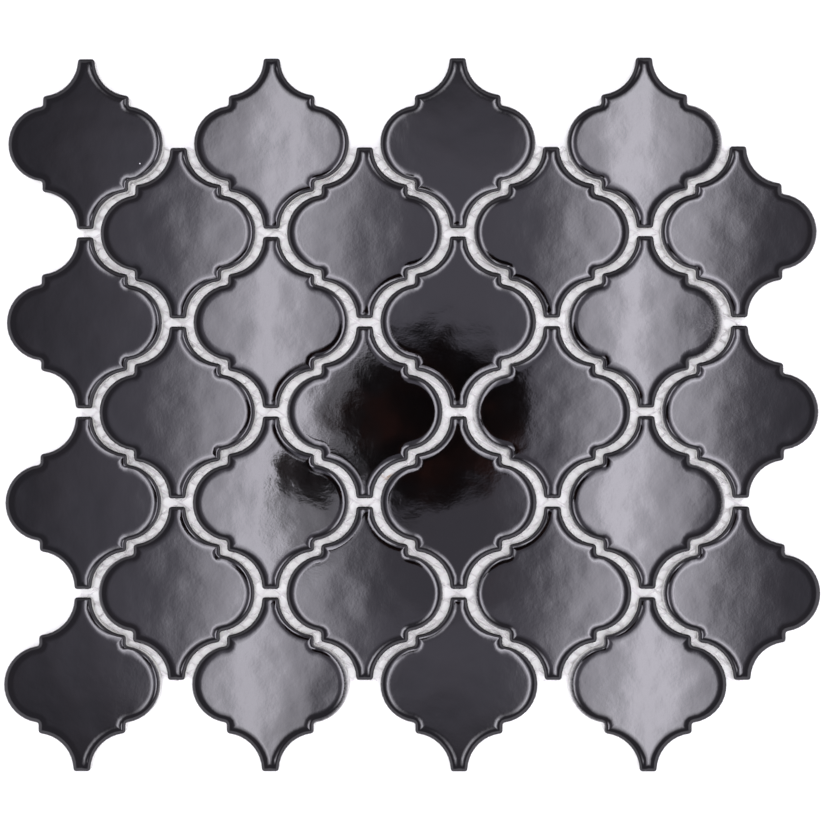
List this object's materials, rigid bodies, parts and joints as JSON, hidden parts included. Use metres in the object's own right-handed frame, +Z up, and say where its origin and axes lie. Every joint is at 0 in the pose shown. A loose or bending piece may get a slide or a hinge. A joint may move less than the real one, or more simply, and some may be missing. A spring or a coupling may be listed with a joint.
{
  "type": "lantern mosaic tile sheet",
  "caption": "Flat mosaic sheet of black gloss glazed lantern-shaped ceramic tiles in interlocking columns, held together by a white net laid across their backs.",
  "frame": {"origin": "middle of the sheet's outline, on the floor that the net's underside lies on", "axes": "+X across the sheet along its rows, +Y up its columns of tiles, +Z up out of the glazed faces"},
  "size_m": [0.28, 0.246, 0.0054],
  "materials": {
    "black_glaze": "high gloss glaze with a slight ripple",
    "white_net": "matt glass-fibre yarn"
  },
  "bodies": {
    "root": {"tile_column_1_row_1": "black_glaze", "tile_column_1_row_2": "black_glaze", "tile_column_1_row_3": "black_glaze", "tile_column_1_row_4": "black_glaze", "tile_column_2_row_1": "black_glaze", "tile_column_2_row_2": "black_glaze", "tile_column_2_row_3": "black_glaze", "tile_column_3_row_1": "black_glaze", "tile_column_3_row_2": "black_glaze", "tile_column_3_row_3": "black_glaze", "tile_column_3_row_4": "black_glaze", "tile_column_4_row_1": "black_glaze", "tile_column_4_row_2": "black_glaze", "tile_column_4_row_3": "black_glaze", "tile_column_5_row_1": "black_glaze", "tile_column_5_row_2": "black_glaze", "tile_column_5_row_3": "black_glaze", "tile_column_5_row_4": "black_glaze", "tile_column_6_row_1": "black_glaze", "tile_column_6_row_2": "black_glaze", "tile_column_6_row_3": "black_glaze", "tile_column_7_row_1": "black_glaze", "tile_column_7_row_2": "black_glaze", "tile_column_7_row_3": "black_glaze", "tile_column_7_row_4": "black_glaze", "tile_column_8_row_1": "black_glaze", "tile_column_8_row_2": "black_glaze", "tile_column_8_row_3": "black_glaze", "net_strands_lower": "white_net", "net_strands_upper": "white_net"}
  },
  "joints": []
}
